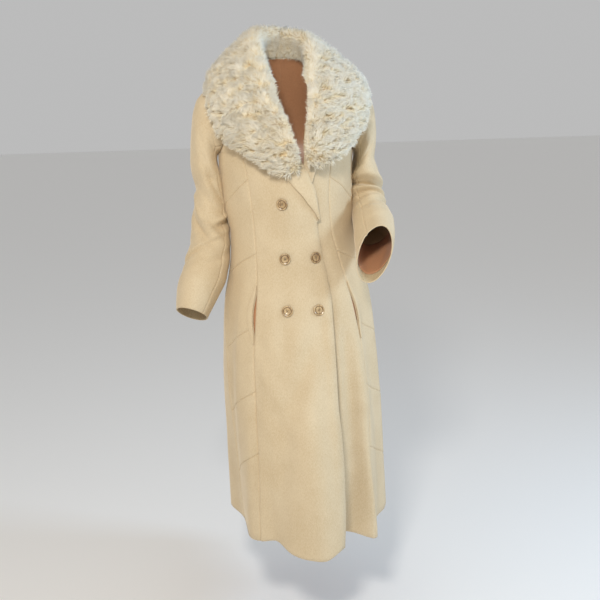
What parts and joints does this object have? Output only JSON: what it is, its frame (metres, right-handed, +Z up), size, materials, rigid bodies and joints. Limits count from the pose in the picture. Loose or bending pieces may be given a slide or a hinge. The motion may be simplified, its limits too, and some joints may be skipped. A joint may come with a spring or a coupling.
{
  "type": "fur-collar coat",
  "caption": "Long double-breasted wool coat with a large shawl collar of fur, pieced side panels, seam pockets and bent sleeves, hollow as it stands when worn",
  "frame": {"origin": "the middle of the neck opening, level with the top of the shoulders, where the wearer holds the coat up", "axes": "+Z up, -Y the way the wearer faces, +X the wearer's left"},
  "size_m": [0.5472, 0.5515, 1.29],
  "materials": {
    "coating": "beige wool coating with a short nap",
    "fur": "cream fur with long soft hair",
    "lining": "peach satin lining",
    "horn": "polished beige horn"
  },
  "bodies": {
    "root": {"front_right": "coating", "front_left": "coating", "lapel_right": "coating", "lapel_left": "coating", "side_front_right_1": "coating", "side_front_right_2": "coating", "side_front_right_3": "coating", "side_front_right_4": "coating", "side_front_right_5": "coating", "side_front_right_6": "coating", "side_front_left_1": "coating", "side_front_left_2": "coating", "side_front_left_3": "coating", "side_front_left_4": "coating", "side_front_left_5": "coating", "side_front_left_6": "coating", "back_right": "coating", "side_back_right": "coating", "back_left": "coating", "side_back_left": "coating", "sleeve_upper_right": "coating", "sleeve_under_right": "coating", "sleeve_lining_right": "lining", "sleeve_upper_left": "coating", "sleeve_under_left": "coating", "sleeve_lining_left": "lining", "fur_collar": "fur", "under_collar": "coating", "pocket_lip_right": "coating", "pocket_facing_right": "lining", "pocket_lip_left": "coating", "pocket_facing_left": "lining", "button_top": "horn", "button_middle_inner": "horn", "button_middle_outer": "horn", "button_bottom_inner": "horn", "button_bottom_outer": "horn"}
  },
  "joints": []
}
